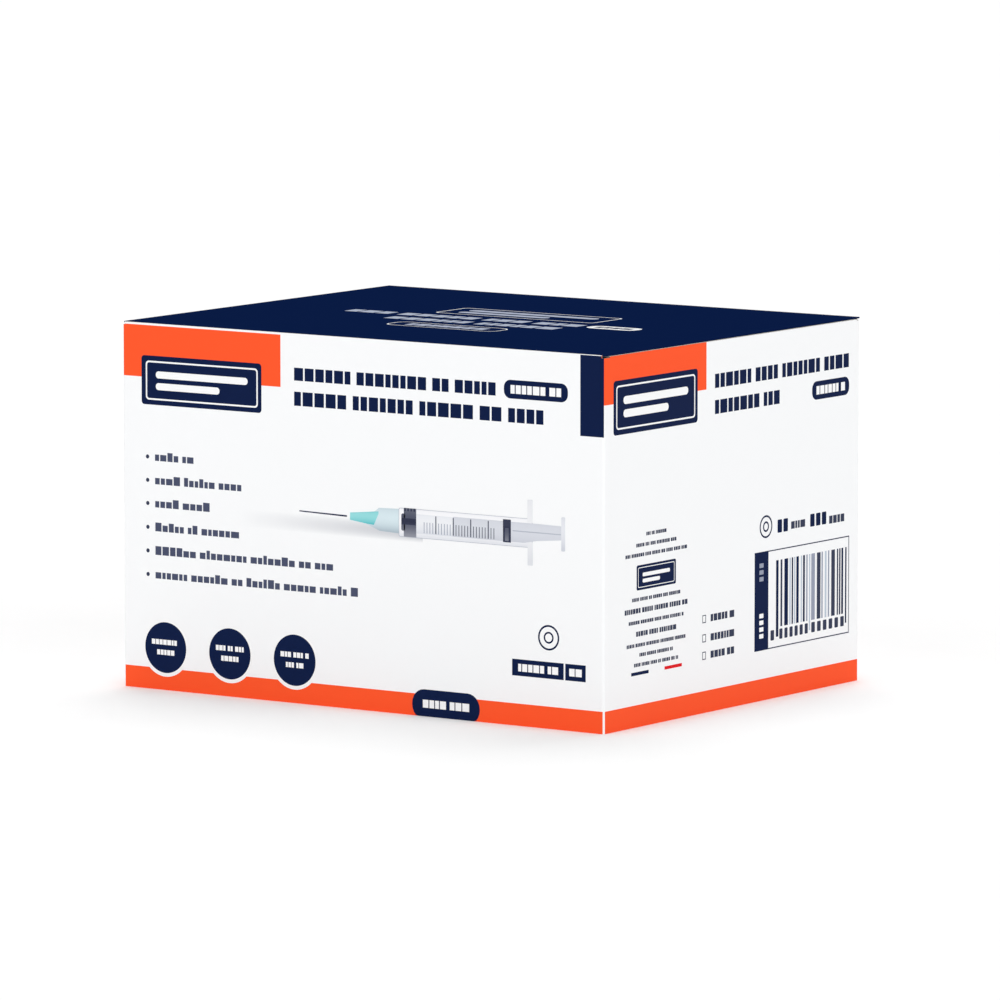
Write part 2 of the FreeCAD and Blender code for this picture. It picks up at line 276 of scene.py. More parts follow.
def board_finish(finish, printed, raw, cut):
    """Finishes a panel from its print and the shares of it that are raw or cut."""
    fleck = finish.noise(0.55, detail=4.0)
    panel = finish.mix(raw, printed, fibres(finish))
    panel = finish.mix(cut, panel, CUT_BOARD)
    uncoated = raw.most(cut)
    finish.link(Base_Color=panel, Roughness=COATED_ROUGH + fleck * 0.1 + uncoated * RAW_ROUGHER)
    return sheet_relief(finish, fleck * (0.12 + uncoated * 0.88))


# %% [markdown]
# The carton's walls carry the large fields of colour: an orange block at the top left of each wall,
# an orange band along the foot, and a navy bar at the right end of the long walls. They are part of
# the sheet, so they belong to its shader. Only the front and one end can be seen in the picture, and
# the two hidden walls plainly repeat them. Each wall is read from its own left edge, so the sign of
# its facing turns a place in the frame into a distance along the wall.

# %% Fields printed on the walls
FRONT_BLOCK = (0.0, 84.2, 1.0, 23.3)
# The bands stop just short of the corners, so a thin white strip runs through them at each fold: a painted
# highlight on the crease.
FRONT_BAND = (0.7, 249.3, 148.6, 160.0)
FRONT_BAR = (238.0, 251.0, 0.4, 34.2)
END_BLOCK = (-1.0, 76.3, -1.0, 20.9)
END_BAND = (0.9, 195.1, 148.6, 160.0)


def wall_print(finish, x, y, z, nx, ny):
    """The walls' printed colour: fields on the long walls and on the ends."""
    along_wall = half_length - x * ny.math("SIGN")
    along_end = half_width + y * nx.math("SIGN")
    down = height - z
    on_long = abs(ny) > 0.707
    on_end = abs(nx) > 0.707
    block = inside(along_wall, down, *FRONT_BLOCK).most(inside(along_wall, down, *FRONT_BAND))
    end_block = inside(along_end, down, *END_BLOCK).most(inside(along_end, down, *END_BAND))
    bar = inside(along_wall, down, *FRONT_BAR)
    orange = (block.soft() * on_long).most(end_block.soft() * on_end)
    ink = finish.mix(orange, COATED_WHITE, ORANGE)
    return finish.mix(bar.soft() * on_long, ink, NAVY)


# %% [markdown]
# The walls' outside is told from their inside by how deep a point lies below the carton's rounded
# outline: the outer face is at nought and the inner one a board's thickness in. The dust flaps fold
# in from the ends, so their upper sides are the same printed face.

# %% The carton's material
def carton_finish():
    """The material of the walls, the base and the flaps that are folded in."""
    finish = Finish("printed_board_carton", Specular_IOR_Level=0.04)
    x, y, z = finish.place()
    nx, ny, nz = finish.facing()
    beside_x = (abs(x) - (half_length - corner_radius)).most(0.0)
    beside_y = (abs(y) - (half_width - corner_radius)).most(0.0)
    turn = (beside_x * beside_x + beside_y * beside_y).math("SQRT") - corner_radius
    straight = (abs(x) - half_length).most(abs(y) - half_width)
    on_turn = beside_x * beside_y > 0.0001
    depth = (turn * on_turn + straight * (1 - on_turn)) * -1
    outer = (depth < board / 2) * (abs(nz) < 0.7)
    below = z < board / 2
    above = (z > wall_top - 0.05) * (nz > 0.7)
    rim = above * (depth < board + 0.05) * (abs(y) > half_width - board - 0.05)
    flap_top = above * (1 - rim)
    flap_edge = (z > wall_top - board - 0.05) * (abs(nz) < 0.5) * (depth > board + 0.2)
    raw = 1 - outer.most(below).most(flap_top).most(rim)
    printed = wall_print(finish, x, y, z, nx, ny)
    return board_finish(finish, printed, raw, rim.most(flap_edge))


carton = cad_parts["carton_body"]
for slot in carton.material_slots:
    slot.material = carton_finish()
print("carton_body", len(carton.data.polygons), "faces")

# %% [markdown]
# The lid is the panel above the back wall, folded over and tucked in at the front. It is navy all
# over, and the ink runs about 4 mm over the fold on to the tuck flap, as printers let it, so that no
# white shows if the fold is a little off. Below that the flap is bare coated board. Its underside is
# raw, and the flap's edges are cut. The panel's own cut edges are navy too, as painted shade where
# bare board would show pale.

# %% The lid's material
INK_OVER_FOLD = 4.0


def lid_finish():
    """The material of the lid panel and its tuck flap."""
    finish = Finish("printed_board_lid", Specular_IOR_Level=0.0)
    x, y, z = finish.place()
    nx, ny, nz = finish.facing()
    face = (nz > 0.5).most((ny < -0.5) * (y < 0))
    over_fold = (z > height - INK_OVER_FOLD)
    sides = (abs(nx) > 0.7).most((ny > 0.7) * (y > half_width - 1))
    tip = (nz < -0.5) * (z < height - 10)
    # Only the flap's sides and tip count as cut. Above them the panel's edges are neither cut nor raw, so
    # they take the navy: painted shade.
    cut = sides.most(tip) * (z < height - board - 0.1)
    raw = (1 - face) * (1 - sides) * (1 - cut)
    printed = finish.mix(over_fold, COATED_WHITE, NAVY)
    return board_finish(finish, printed, raw, cut)


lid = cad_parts["lid"]
for slot in lid.material_slots:
    slot.material = lid_finish()
print("lid", len(lid.data.polygons), "faces")

# %% [markdown]
# Every mesh from here on is built in bmesh, where vertices and faces are made one by one. Three
# helpers do what repeats: one joins two lines of vertices with faces, one turns all faces outwards
# and makes a mesh of them, and one makes an object and links it to the scene.

# %% From faces to an object
def strip(shape, first, second, closed=True):
    """The four-sided faces between two lines of vertices, which may be closed to rings."""
    if closed:
        first, second = first + first[:1], second + second[:1]
    return [shape.faces.new(four) for four in zip(first, second, second[1:], first[1:])]


def mesh_of(name, shape):
    """A mesh of that name from a bmesh, which is used up."""
    bmesh.ops.recalc_face_normals(shape, faces=shape.faces)
    mesh = bpy.data.meshes.new(name)
    shape.to_mesh(mesh)
    shape.free()
    return mesh


def object_of(name, data):
    """An object of that name, linked to the scene."""
    made = bpy.data.objects.new(name, data)
    bpy.context.collection.objects.link(made)
    return made


# %% [markdown]
# Fine print, such as bars, rings, a barcode and a picture, is too small for sums in one shader, and
# it has to stay sharp. So each mark is a flat shape laid on its wall as a very thin closed slab, like
# a film of ink. A wall is known by its upper left corner and three directions, and then u runs right
# and v runs down, both in mm.

# %% Walls that take print
FILM = 0.016


class Wall:
    """A flat side: u runs right and v runs down from its corner, in mm."""

    def __init__(self, corner, right, down, out):
        self.corner = Vector(corner)
        self.right = Vector(right)
        self.down = Vector(down)
        self.out = Vector(out)

    def at(self, u, v, lift):
        """The point of the frame, in metres, at that place and height above the wall."""
        return (self.corner + self.right * u + self.down * v + self.out * lift) * MM


front_wall = Wall((-half_length, -half_width, height), (1, 0, 0), (0, 0, -1), (0, -1, 0))
end_wall = Wall((half_length, -half_width, height), (0, 1, 0), (0, 0, -1), (1, 0, 0))
lid_face = Wall((-half_length, half_width, height), (1, 0, 0), (0, -1, 0), (0, 0, 1))

# %% [markdown]
# The shapes themselves are few. A bar is a rectangle whose corners may be rounded, and a disc is a
# circle of short sides. Each is a list of corners worked out from its size.

# %% Shapes of ink
def bar(left, right, upper, lower, round_by=0.0, steps=6):
    """A rectangle, with its corners rounded by that radius."""
    if round_by == 0:
        return [(left, upper), (right, upper), (right, lower), (left, lower)]
    points = []
    middles = ((right - round_by, upper + round_by, -90), (right - round_by, lower - round_by, 0),
               (left + round_by, lower - round_by, 90), (left + round_by, upper + round_by, 180))
    for u, v, start in middles:
        for step in range(steps + 1):
            angle = math.radians(start + 90 * step / steps)
            points.append((u + round_by * math.cos(angle), v + round_by * math.sin(angle)))
    return points


def disc(u, v, radius, sides=56):
    """A circle as a ring of points."""
    turns = [2 * math.pi * side / sides for side in range(sides)]
    return [(u + radius * math.cos(turn), v + radius * math.sin(turn)) for turn in turns]


# %% [markdown]
# One printing gathers all the shapes of a wall into one mesh. A higher layer lies a little further
# out, so overlapping inks never share a surface. A shape may have a hole of as many corners, which
# makes rings and keylines. The mesh is closed, because it also leaves as a solid.

# %% A printing
class Printing:
    """The fine print of one wall, in one mesh with one material for each ink."""

    def __init__(self, name, wall, body):
        self.name = name
        self.wall = wall
        self.body = body
        self.mesh = bmesh.new()
        self.inks = []

    def lay(self, ink, outline, layer=1, hole=None):
        """Lays one shape of ink, with a hole of as many corners where one is given."""
        if ink not in self.inks:
            self.inks.append(ink)
        outlines = [outline] if hole is None else [outline, hole]
        upper, lower = [[self.points(line, lift) for line in outlines] for lift in (FILM * layer, -FILM)]
        if hole is None:
            faces = [self.mesh.faces.new(upper[0]), self.mesh.faces.new(lower[0][::-1])]
        else:
            faces = strip(self.mesh, *upper) + strip(self.mesh, *lower[::-1])
            faces += strip(self.mesh, upper[1], lower[1])
        for face in faces + strip(self.mesh, lower[0], upper[0]):
            face.material_index = self.inks.index(ink)

    def points(self, outline, lift):
        """An outline's vertices at that height above the wall."""
        return [self.mesh.verts.new(self.wall.at(u, v, lift)) for u, v in outline]

    def finish(self, slot):
        """Makes the piece and hangs it on its body. The slot is not used."""
        mesh = mesh_of(self.name, self.mesh)
        for ink in self.inks:
            mesh.materials.append(ink)
        piece = object_of(self.name, mesh)
        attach(piece, self.body)
        print(self.name, len(mesh.polygons), "faces,", len(self.inks), "inks")


# %% [markdown]
# Ink on coated board isn't one flat colour: the screen of dots lays it down slightly unevenly, and the
# varnish over it shines a little more than bare board does. So each ink varies by a few hundredths
# at a grain of a third of a millimetre, and its roughness drifts with the board's.

# %% Inks
INK_SHINE = 0.3
INK_GLINT = 0.02


def ink_of(name, tint):
    """A printed ink of that colour, with the faint mottle that a press leaves."""
    finish = Finish(f"ink_{name}", Specular_IOR_Level=INK_GLINT)
    grain = finish.noise(0.3, detail=3.0)
    tone = finish.mix(grain, scaled(tint, 0.93), scaled(tint, 1.07, 0.004))
    finish.link(Base_Color=tone, Roughness=INK_SHINE + grain * 0.12)
    return sheet_relief(finish, grain * 0.1)


navy = ink_of("navy", NAVY)
white = ink_of("white", COATED_WHITE)
red = ink_of("red", colour(222, 26, 34))
slate = ink_of("slate", colour(56, 62, 84))
thin_ink = ink_of("thin", colour(74, 80, 104))
lid_ink = ink_of("lid_rows", colour(168, 177, 197))
outline_ink = ink_of("outline", colour(176, 181, 194))
faint_ink = ink_of("faint", colour(150, 156, 174))
pale_ink = ink_of("pale", colour(188, 199, 212))
print(sum(ink.name.startswith("ink_") for ink in bpy.data.materials), "flat inks")

# %% [markdown]
# Much of the print is thin line: keylines, frames and rings. Each is one shape with a smaller copy of
# itself as its hole.

# %% Frames and rings
def frame_of(printing, ink, box, line, rounds=(0, 0), layer=1):
    """A frame of that line inside a box, with its outer and inner corners rounded."""
    left, right, upper, lower = box
    hole = bar(left + line, right - line, upper + line, lower - line, rounds[1])
    printing.lay(ink, bar(*box, rounds[0]), layer, hole)


def ring(printing, u, v, radius, line, sides=56):
    """A navy ring of that outer radius and line."""
    printing.lay(navy, disc(u, v, radius, sides), hole=disc(u, v, radius - line, sides))


# %% [markdown]
# The print on this carton says nothing. Its lines are rows of small blocks with the rhythm of words:
# wide and narrow blocks, gaps between them, and now and then a longer gap. They are drawn by a seeded
# random number, so each run lays the same rows. Gaps and low letters are shares of a row's height.

# %% Rows of blocks
LETTER_GAP = 0.15
WORD_GAP = 0.42
LOW_LETTER = 0.28


def block_row(printing, ink, left, right, upper, lower, seed, layer=1, capitals=True):
    """A row of blocks from left to right, as high as a line of type."""
    draw = random.Random(seed)
    tall = lower - upper
    u = left
    word_left = draw.randint(3, 7)
    while right - u > 0.45 * tall:
        wide = tall * draw.uniform(0.46, 0.92)
        if right - u - wide < 0.6 * tall:
            wide = right - u
        top = upper if capitals or draw.random() < 0.3 else upper + LOW_LETTER * tall
        printing.lay(ink, bar(u, u + wide, top, lower), layer)
        u += wide + LETTER_GAP * tall
        word_left -= 1
        if word_left == 0:
            u += WORD_GAP * tall
            word_left = draw.randint(2, 8)


# %% [markdown]
# Both walls carry the same head: a navy plate with a fine white keyline, lapping over the orange
# block, then two rows of heading and a small pill. The plate holds two plain bars, so the place is
# finished but says nothing.

# %% The head of a wall
PLATE_BARS = ((0.91, 0.26, 0.44), (0.66, 0.56, 0.74))


def head_plate(printing, plate, keyline):
    """A navy plate with its keyline, and two plain bars."""
    printing.lay(navy, bar(*plate, 1.5), layer=2)
    frame_of(printing, white, keyline, 0.7, (1.6, 1.1), layer=3)
    left, right, upper, lower = keyline
    wide = right - left
    tall = lower - upper
    for reach, top, bottom in PLATE_BARS:
        printing.lay(white, bar(left + wide * 0.09, left + wide * reach, upper + tall * top,
                                upper + tall * bottom, tall * 0.085), layer=3)


def pill(printing, left, right, upper, lower, seed):
    """A rounded navy pill with a short row of white blocks in it."""
    tall = lower - upper
    printing.lay(navy, bar(left, right, upper, lower, tall * 0.42), layer=2)
    rise = tall * 0.27
    block_row(printing, white, left + 3.4, right - 3.4, upper + rise, lower - rise, seed, layer=3)


# %% [markdown]
# The front's list has six rows of blocks, each with a round bullet. The three navy circles near the
# foot stand half on the orange band, each with a white ring that cuts it out of the band.

# %% Front wall: head, list and badges
BULLET_ROWS = ((57.6, 37.9), (67.7, 63.3), (77.7, 46.4), (88.0, 62.0), (98.2, 115.3), (108.4, 124.4))
BADGES = (22.6, 56.9, 91.2)
BADGE_LEVEL = 139.6
BADGE_RADIUS = 11.0
BADGE_RIM = 1.6
front = Printing("front_print", front_wall, "carton")
head_plate(front, (10.3, 74.1, 14.0, 35.1), (12.6, 72.2, 16.2, 33.0))
block_row(front, navy, 91.3, 195.3, 14.6, 20.1, seed=11)
pill(front, 199.5, 231.8, 13.0, 20.8, seed=12)
block_row(front, navy, 91.3, 219.5, 24.8, 30.8, seed=13)
for number, (v, text_end) in enumerate(BULLET_ROWS):
    front.lay(slate, disc(13.3, v, 0.9, sides=20))
    block_row(front, thin_ink, 17.3, text_end, v - 2.2, v + 1.6, seed=20 + number, capitals=False)
for number, u in enumerate(BADGES):
    front.lay(white, disc(u, BADGE_LEVEL, BADGE_RADIUS + BADGE_RIM), layer=2)
    front.lay(navy, disc(u, BADGE_LEVEL, BADGE_RADIUS), layer=3)
    block_row(front, white, u - 7.4, u + 7.4, 136.2, 138.4, seed=30 + number, layer=4)
    block_row(front, white, u - 4.6, u + 4.6, 140.6, 142.8, seed=40 + number, layer=4)
print(len(BULLET_ROWS), "rows and", len(BADGES), "badges")

# %% [markdown]
# Right of them are the tab, which the fold at the foot cuts off straight, a mark of two rings, and a
# navy strip in two parts.

# %% Front wall: tab, rings and strip
tab = [(u, min(v, height)) for u, v in bar(152.5, 187.2, 146.5, height + 1.5, 6.2)]
front.lay(navy, tab, layer=2)
block_row(front, white, 158.0, 181.8, 150.9, 154.3, seed=51, layer=3)
ring(front, 222.2, 119.7, 5.35, 0.8)
ring(front, 222.2, 119.7, 2.5, 0.75, sides=28)
front.lay(navy, bar(203.7, 229.8, 129.9, 136.9))
front.lay(navy, bar(230.6, 240.9, 129.9, 136.9))
block_row(front, white, 206.8, 227.0, 131.8, 135.0, seed=52, layer=2)
block_row(front, white, 232.6, 238.9, 131.8, 135.0, seed=53, layer=2)
print("front print so far:", len(front.mesh.faces), "faces")

# %% [markdown]
# The picture on the front shows what is inside: a syringe with its needle, lying level. A flat shape
# can still look round if its ink is darker at the upper and lower edges, as a shaded drawing is. So
# the picture's inks shade across their own height, by a parabola in the height of the point.

# %% Inks that shade across a round thing
def shaded_ink(name, middle, edge, upper, lower):
    """An ink that is light along its middle line and darker towards both edges."""
    finish = Finish(f"ink_{name}", Specular_IOR_Level=INK_GLINT)
    up = finish.place()[2]
    centre = height - (upper + lower) / 2
    reach = (lower - upper) / 2
    across = (up - (centre + reach * 0.25)) * (1 / reach)
    shade = (across * across).math("MULTIPLY", 0.8, clamp=True)
    grain = finish.noise(0.3, detail=3.0)
    finish.link(Base_Color=finish.mix(shade, colour(*middle), colour(*edge)),
                Roughness=INK_SHINE + grain * 0.12)
    return sheet_relief(finish, grain * 0.1)


SHADED = {
    "steel": ((58, 62, 88), (26, 29, 54), 75.0, 76.4),
    "hub": ((150, 218, 220), (92, 190, 196), 72.6, 78.8),
    "collar": ((214, 230, 236), (172, 188, 198), 70.8, 81.6),
    "barrel": ((250, 250, 252), (226, 228, 234), 70.6, 82.8),
    "rod": ((214, 217, 225), (204, 207, 216), 72.4, 80.8),
    "bore": ((236, 238, 242), (220, 223, 230), 72.4, 80.8),
    "thumb": ((228, 230, 236), (206, 209, 218), 68.7, 83.0),
    "seal": ((82, 86, 104), (142, 145, 156), 70.3, 82.6),
    "dark_seal": ((50, 54, 74), (58, 62, 82), 74.7, 77.4),
    "flange": ((236, 237, 240), (222, 224, 229), 62.8, 90.0),
}
drawn = {name: shaded_ink(name, *tones) for name, tones in SHADED.items()}
drawn["outline"] = outline_ink
print(len(SHADED), "shaded inks")

# %% [markdown]
# The pictured syringe throws a soft shadow to the left and below. It is palest at its upper and lower
# edges and towards the needle's point, so one ink multiplies a slope along it by a parabola across it.

# %% The picture's shadow
def shadow_ink():
    """The picture's soft shadow: palest at its upper and lower edges, and towards the point."""
    finish = Finish("ink_shadow", Specular_IOR_Level=INK_GLINT)
    x, y, z = finish.place()
    along = ((x + half_length - 62.0) * (1 / 95)).math("ADD", 0.0, clamp=True)
    across = (z - (height - 80.6)) * (1 / 4.0)
    dark = ((1 - across * across).most(0.0)) * along
    tone = finish.mix(dark, COATED_WHITE, colour(196, 198, 204))
    return finish.link(Base_Color=tone, Roughness=0.36 + finish.noise(0.3, detail=3.0) * 0.1)


front.lay(shadow_ink(), bar(62.0, 158.0, 76.6, 84.6))

# %% [markdown]
# The syringe is laid from its point: needle, hub, collar, barrel with its graduation, the dark seal,
# the rod, the finger flange and the thumb plate. Its parts overlap as the real ones do, so each gets
# its own layer.

# %% The picture on the front
PICTURE = (
    ("steel", 2, [(93.9, 75.2), (118.8, 75.6), (118.8, 76.3), (93.9, 75.7)]),
    ("hub", 3, [(120.4, 74.3), (135.2, 72.8), (135.2, 73.9), (132.8, 78.7), (128.8, 78.4), (120.4, 77.4)]),
    ("collar", 2, [(128.8, 76.0), (135.4, 71.3), (145.9, 71.0), (145.9, 81.4), (135.7, 81.0),
                   (128.8, 78.5)]),
    ("barrel", 3, bar(145.7, 214.0, 70.5, 82.7, 0.8)),
    ("outline", 4, bar(145.7, 214.0, 70.5, 82.7, 0.8), bar(145.9, 213.8, 70.68, 82.5, 0.7)),
    ("bore", 4, bar(154.7, 173.6, 72.6, 80.8)),
    ("rod", 4, bar(173.6, 210.0, 72.4, 80.8)),
    ("rod", 6, [(209.8, 72.4), (216.0, 72.4), (229.2, 72.6), (229.2, 78.4), (216.0, 79.6), (209.8, 80.8)]),
    ("seal", 5, bar(148.3, 154.7, 70.4, 82.5)),
    ("seal", 5, bar(147.0, 149.0, 72.8, 80.1, 0.8)),
    ("dark_seal", 6, bar(147.1, 154.7, 74.7, 77.4)),
    *(("dark_seal", 6, bar(u, u + 0.9, 70.4, 71.7)) for u in (148.5, 150.1, 151.7, 153.3)),
    ("seal", 5, bar(199.1, 203.1, 71.6, 81.2)),
    ("dark_seal", 6, bar(199.1, 203.1, 71.6, 81.2), bar(200.1, 202.0, 75.2, 80.6)),
    ("outline", 7, bar(204.0, 228.4, 75.9, 76.3)),
    ("flange", 7, bar(211.5, 214.1, 62.5, 72.2, 0.3)),
    ("flange", 7, bar(211.6, 214.2, 80.4, 90.1, 0.3)),
    ("thumb", 7, bar(228.6, 230.5, 68.7, 83.0, 0.5)),
)
for name, layer, outline, *hole in PICTURE:
    front.lay(drawn[name], outline, layer, *hole)
print(len(PICTURE), "shapes in the picture")

# %% [markdown]
# The pictured graduation has a long line after every five short ones. The first few lines are over
# the lighter part of the barrel and print fainter. Then the front is whole.

# %% The pictured graduation
TICKS = 25
TICK_START = 158.6
TICK_PITCH = 8.93 / 6
for tick in range(TICKS):
    u = TICK_START + tick * TICK_PITCH
    long_line = tick % 6 == 4
    upper = 72.9 if long_line else 75.8
    wide = 0.5 if long_line else 0.34
    front.lay(slate if tick > 9 or long_line else faint_ink, bar(u, u + wide, upper, 80.4), layer=5)
front.finish("printed_board")
print(TICKS, "lines in the pictured graduation")

# %% [markdown]
# The end wall repeats the head. Below it at the left stands a column of centred rows, with a small
# plate among them and two short rules under it, one navy and one red.

# %% End wall: head and column
COLUMN_AT = 38.8
COLUMN_ROWS = ((77.3, 15, 1.5), (81.6, 30, 1.5), (85.7, 46, 1.5), (104.3, 36, 1.5), (109.0, 47, 2.1),
               (113.9, 41, 1.5), (118.8, 30, 2.1), (123.5, 44, 1.5), (127.7, 25, 1.5), (131.8, 33, 1.5))
end = Printing("end_print", end_wall, "carton")
head_plate(end, (6.8, 69.6, 11.4, 34.1), (8.8, 67.7, 13.5, 31.9))
block_row(end, navy, 82.8, 187.1, 14.9, 20.9, seed=61)
block_row(end, navy, 82.8, 137.5, 26.0, 31.9, seed=62)
pill(end, 158.1, 187.4, 24.9, 32.8, seed=63)
for number, (v, wide, tall) in enumerate(COLUMN_ROWS):
    left = COLUMN_AT - wide / 2
    block_row(end, slate, left, left + wide, v - tall / 2, v + tall / 2, seed=70 + number)
end.lay(navy, bar(24.1, 53.5, 90.0, 100.5, 0.8))
frame_of(end, white, (25.2, 52.4, 91.0, 99.5), 0.3, (0.7, 0.5), layer=2)
for reach, v in ((49.0, 93.4), (41.5, 96.0)):
    end.lay(white, bar(28.6, reach, v, v + 1.6, 0.6), layer=2)
for ink, left, right in ((navy, 20.2, 33.2), (red, 45.1, 58.2)):
    end.lay(ink, bar(left, right, 134.7, 136.1))
print(len(COLUMN_ROWS), "rows in the column")

# %% [markdown]
# Beside the column are three short rows, each after an empty box, and above the barcode a line of
# plain blocks after a mark of two rings.

# %% End wall: boxes, rings and blocks
for number, v in enumerate((118.0, 126.2, 133.6)):
    block_row(end, slate, 80.0, 98.0, v - 1.5, v + 1.5, seed=80 + number)
    frame_of(end, slate, (73.7, 76.4, v - 1.7, v + 1.7), 0.4)
ring(end, 122.4, 83.6, 4.9, 0.8)
ring(end, 122.4, 83.6, 2.3, 0.8, sides=28)
for left, blocks in ((131.4, 2), (157.0, 3)):
    for number in range(blocks):
        start = left + number * 4.6
        end.lay(navy, bar(start, start + 3.5, 80.8 + left * 0.006, 87.2, 0.5))
block_row(end, slate, 142.0, 153.0, 83.4, 86.6, seed=84)
block_row(end, slate, 172.0, 184.0, 84.0, 87.4, seed=85)
print("end print so far:", len(end.mesh.faces), "faces")

# %% [markdown]
# The barcode is a frame, a dark strip at its left with small blocks in it, and some twenty bars of
# chance widths and tones, which code nothing. The first, the middle and the last bar reach further
# down, as guard bars do.

# %% Barcode: its frame and strip
end.lay(slate, bar(113.7, 188.0, 94.1, 136.4), hole=bar(114.1, 187.5, 94.6, 135.9))
end.lay(navy, bar(113.7, 124.4, 94.1, 136.4), layer=2)
for ink, start, count in ((faint_ink, 99.0, 3), (white, 120.6, 4)):
    for number in range(count):
        v = start + number * 2.9
        end.lay(ink, bar(117.4, 120.6, v, v + 1.9, 0.3), layer=3)

# %% [markdown]
# The bars' widths and gaps are drawn first and then stretched to fill the frame. Two groups of six
# blocks stand under them, between the guard bars, and one block stands alone at the left.

# %% Barcode that codes nothing
BARS = 21
BARS_LEFT = 130.4
BARS_RIGHT = 186.0
BARS_TOP = 98.9
BARS_FOOT = 127.6
GUARD_FOOT = 131.8
UNDER_BARS = (128.6, 133.0)
draw = random.Random(7)
widths = [draw.choice((0.9, 1.2, 1.6, 2.4)) for _ in range(BARS)]
gaps = [draw.choice((0.6, 0.9, 1.3)) for _ in range(BARS)]
stretch = (BARS_RIGHT - BARS_LEFT) / (sum(widths) + sum(gaps[1:]))
u = BARS_LEFT
guards = []
for number, (wide, gap) in enumerate(zip(widths, gaps)):
    tone = draw.choice((navy, navy, slate, faint_ink, pale_ink))
    guard = number in (0, BARS // 2, BARS - 1)
    end.lay(tone, bar(u, u + wide * stretch, BARS_TOP, GUARD_FOOT if guard else BARS_FOOT))
    if guard:
        guards.append((u, u + wide * stretch))
    u += (wide + gap) * stretch
end.lay(slate, bar(126.2, 129.0, *UNDER_BARS, 0.5))
for before, after in zip(guards, guards[1:]):
    pitch = (after[0] - before[1]) / 6
    for number in range(6):
        left = before[1] + pitch * (number + 0.19)
        end.lay(slate, bar(left, left + pitch * 0.62, *UNDER_BARS, 0.5))
end.finish("printed_board")
print(f"{BARS} bars, drawn {stretch:.2f} times their chance width")

# %% [markdown]
# The lid repeats the head in white and a thin pale ink, straight on the navy. Only a sliver of it can
# be seen from the front, so its rows are kept plain.

# %% Lid
lid_print = Printing("lid_print", lid_face, "lid")
frame_of(lid_print, white, (88.0, 171.0, 64.5, 89.0), 0.8, (2.4, 1.8))
lid_print.lay(lid_ink, bar(96.0, 163.0, 70.3, 75.6, 2.4))
lid_print.lay(lid_ink, bar(96.0, 143.0, 78.6, 83.6, 2.4))
block_row(lid_print, lid_ink, 52.0, 174.0, 97.0, 105.5, seed=91)
lid_print.lay(white, bar(178.0, 203.5, 96.0, 106.6, 4.4))
block_row(lid_print, navy, 181.6, 199.8, 98.9, 103.7, seed=92, layer=2)
block_row(lid_print, lid_ink, 84.0, 172.0, 112.5, 121.0, seed=93)
frame_of(lid_print, white, (99.5, 157.0, 128.5, 143.5), 0.7, (5.0, 4.4))
block_row(lid_print, lid_ink, 108.0, 148.6, 132.6, 139.4, seed=94)
lid_print.finish("lid_board")

# %% [markdown]
# At the back the lid is one sheet with the wall, bent at a scored line. When the lid opens, that line
# has to stretch round the corner, so a thin skin of printed face goes over the edge and blends from
# the wall to the lid. It is a strip with many short steps across the fold, each step a little further
# round the bend.

# %% The fold, seen from its end
CREASE_REACH = 1.4
CREASE_ROUND = 0.5
SKIN = 0.02
BEND_STEPS = 10


def crease_path():
    """The skin's middle line, as (y, z) in mm, from the wall round the fold to the lid."""
    path = [(half_width, height - CREASE_REACH)]
    for step in range(BEND_STEPS + 1):
        angle = math.radians(90 * step / BEND_STEPS)
        path.append((half_width - CREASE_ROUND + CREASE_ROUND * math.cos(angle),
                     height - CREASE_ROUND + CREASE_ROUND * math.sin(angle)))
    return path + [(half_width - CREASE_REACH, height)]


def crease_section():
    """The skin's outline: along its outer side, and back along its inner one."""
    path = crease_path()
    outer = []
    inner = []
    for index, (y, z) in enumerate(path):
        before = path[max(index - 1, 0)]
        after = path[min(index + 1, len(path) - 1)]
        way = Vector((after[0] - before[0], after[1] - before[1])).normalized()
        outer.append((y + way.y * SKIN, z - way.x * SKIN))
        inner.append((y - way.y * SKIN, z + way.x * SKIN))
    return outer + inner[::-1]


section = crease_section()
print(len(section), "points round the skin")

# %% [markdown]
# That outline is repeated along the carton, and each pair of outlines is joined by faces.

# %% Skin over the back crease
CREASE_COLUMNS = 24
CREASE_SHORT = 1.5


def raw_side():
    """The material of the sheet's uncoated side."""
    finish = Finish("raw_board")
    fleck = finish.noise(0.55, detail=4.0)
    finish.link(Base_Color=fibres(finish), Roughness=COATED_ROUGH + RAW_ROUGHER + fleck * 0.1)
    return sheet_relief(finish, fleck)


def crease_mesh():
    """The skin as a closed mesh."""
    shape = bmesh.new()
    half = len(section) // 2
    start = CREASE_SHORT - half_length
    rings = []
    for column in range(CREASE_COLUMNS + 1):
        x = start - 2 * start * column / CREASE_COLUMNS
        rings.append([shape.verts.new(Vector((x, y, z)) * MM) for y, z in section])
    for first, second in zip(rings, rings[1:]):
        for index, face in enumerate(strip(shape, first, second)):
            face.material_index = int(index >= half - 1)
    for outline in (rings[0], rings[-1]):
        strip(shape, outline[:half], outline[half:][::-1], closed=False)
    return mesh_of("back_crease", shape)


piece = object_of("back_crease", crease_mesh())
piece.data.materials.append(navy)
piece.data.materials.append(raw_side())
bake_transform(piece)
print("back_crease", len(piece.data.polygons), "faces")

# %% [markdown]
# Ninety-six of the hundred packs lie in rows, and each row is one solid of the frame. A pack is a
# sheet of white medical paper with a clear film drawn over it into a pocket. In an upright row the
# pocket is above the paper, and in a turned row it hangs below, so that the two interlock. From above
# only the paper of the top row is seen, and it carries a plain printed design. One material does for
# all rows, because the height within a pair of rows tells paper from film.

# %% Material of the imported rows
PACK_PITCH = 38.2
PAIR_PITCH = 16.4
PAIR_START = 1.4
TURNED_START = -85.95
HEAD_MARK = (-15.0, 15.0, 52.0, 66.0)
FOOT_MARK = (-15.0, 15.0, -78.0, -74.0)
TEXT_FIELD = (-13.0, 11.0, -40.0, 40.0)


